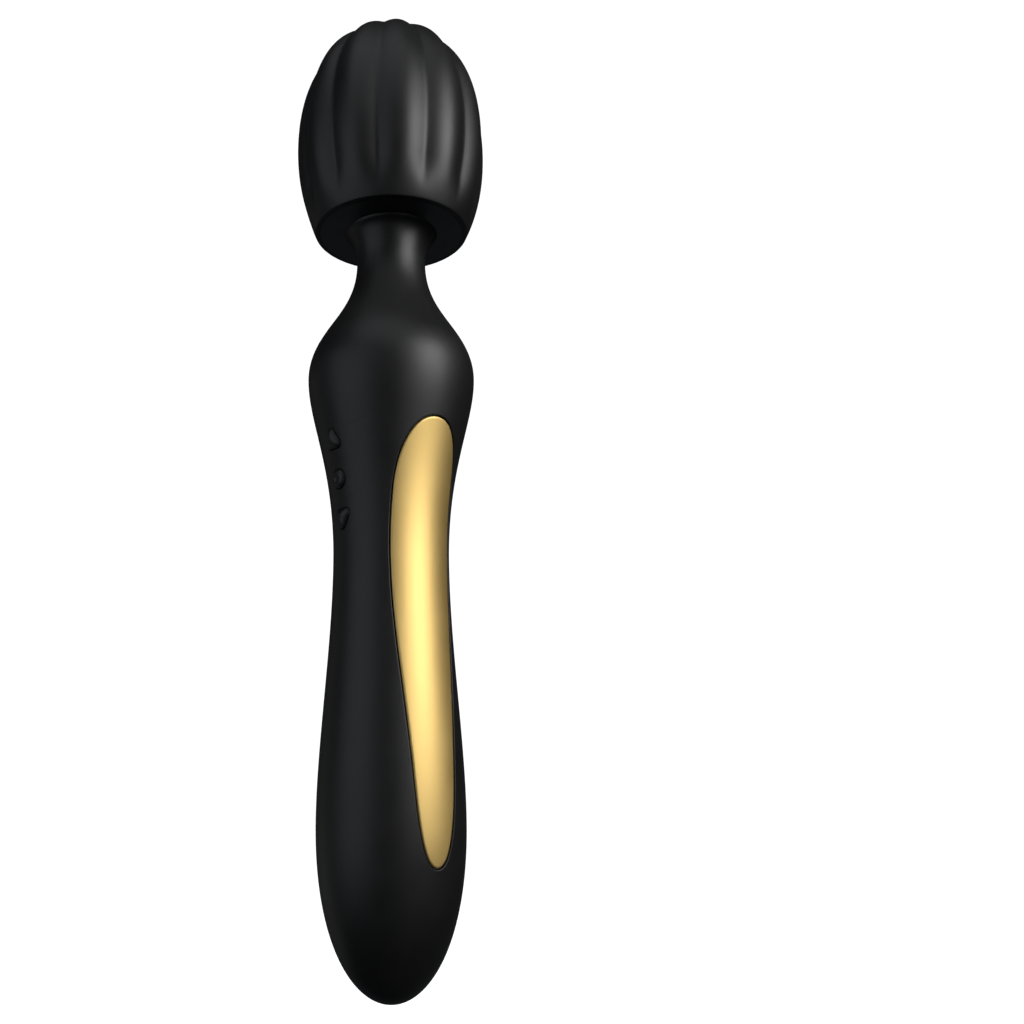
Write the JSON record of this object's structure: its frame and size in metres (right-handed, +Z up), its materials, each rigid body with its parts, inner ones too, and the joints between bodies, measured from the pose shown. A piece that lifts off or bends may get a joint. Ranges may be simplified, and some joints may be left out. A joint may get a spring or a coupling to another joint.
{
  "type": "handheld wand massager",
  "caption": "Cordless wand massager with a fluted egg-shaped head on a flexible neck, a waisted handle, leaf-shaped gold inlays and raised buttons.",
  "frame": {"origin": "on the wand's axis at the handle's waist, where a hand or holder grips it", "axes": "+Z up the axis towards the head, -Y towards the buttons, +X and -X towards the two inlays"},
  "size_m": [0.056, 0.056, 0.275],
  "materials": {
    "silicone": "satin black silicone skin",
    "button_silicone": "satin black silicone",
    "base_plastic": "semi-gloss black plastic",
    "shell_plastic": "dark grey moulded plastic",
    "gold_trim": "satin gold plating on plastic",
    "white_plastic": "natural moulded plastic",
    "grey_plastic": "glass-filled nylon",
    "damper_rubber": "soft black rubber",
    "foam": "adhesive foam",
    "zinc_steel": "zinc-plated steel",
    "screw_steel": "zinc-plated screws",
    "shaft_steel": "ground steel",
    "spring_steel": "spring steel wire",
    "weight_steel": "sintered steel",
    "magnet": "ferrite magnet",
    "bronze": "sintered bronze",
    "winding_copper": "enamelled copper on laminations",
    "board_green": "circuit board",
    "black_plastic": "black moulded plastic",
    "cell_wrap": "shrink-wrapped cell",
    "nickel": "nickel strip",
    "red_wire": "red insulated wire",
    "black_wire": "black insulated wire"
  },
  "bodies": {
    "handle": {"handle_skin": "silicone", "shell_front": "shell_plastic", "shell_rear": "shell_plastic", "shell_screws": "screw_steel", "inlay_right": "gold_trim", "inlay_left": "gold_trim", "neck_plug_lower": "grey_plastic", "lower_plug_screws": "screw_steel", "neck_sleeve": "silicone", "neck_spring": "spring_steel", "motor_leads": "red_wire", "control_board": "board_green", "board_screws": "screw_steel", "switches": "black_plastic", "board_chips": "black_plastic", "lead_connector": "white_plastic", "battery_cell": "cell_wrap", "battery_cradle": "white_plastic", "battery_tabs": "nickel", "battery_pads": "foam", "battery_leads": "red_wire", "charge_socket": "black_plastic", "charge_leads": "black_wire"},
    "head": {"head_cap": "silicone", "head_dome": "shell_plastic", "head_base": "base_plastic", "motor_cradle": "white_plastic", "cradle_screws": "screw_steel", "motor_damper": "damper_rubber", "motor_can": "zinc_steel", "motor_endcap": "white_plastic", "motor_magnets": "magnet", "motor_bushes": "bronze", "motor_clamp": "white_plastic", "neck_plug_upper": "grey_plastic", "upper_plug_screws": "screw_steel"},
    "weight": {"motor_shaft": "shaft_steel", "motor_rotor": "winding_copper", "eccentric_weight": "weight_steel"},
    "button_up": {"button_up_cap": "button_silicone", "button_up_plunger": "white_plastic"},
    "button_power": {"button_power_cap": "button_silicone", "button_power_plunger": "white_plastic"},
    "button_down": {"button_down_cap": "button_silicone", "button_down_plunger": "white_plastic"}
  },
  "joints": [
    {"name": "head_flex", "type": "hinge", "parent": "handle", "child": "head", "pos_m": [0, 0, 0.085], "axis": [1, 0, 0], "range_deg": [-15, 15], "stiffness_Nm_per_rad": 1.5, "deforming": ["neck_sleeve", "neck_spring", "motor_leads"]},
    {"name": "weight_spin", "type": "hinge", "parent": "head", "child": "weight", "pos_m": [0, 0, 0.14], "axis": [0, 0, 1], "continuous": true},
    {"name": "button_up_press", "type": "slide", "parent": "handle", "child": "button_up", "axis": [0, 1, 0], "range_m": [0, 0.0006], "stiffness_N_per_m": 300},
    {"name": "button_power_press", "type": "slide", "parent": "handle", "child": "button_power", "axis": [0, 1, 0], "range_m": [0, 0.0006], "stiffness_N_per_m": 300},
    {"name": "button_down_press", "type": "slide", "parent": "handle", "child": "button_down", "axis": [0, 1, 0], "range_m": [0, 0.0006], "stiffness_N_per_m": 300}
  ]
}
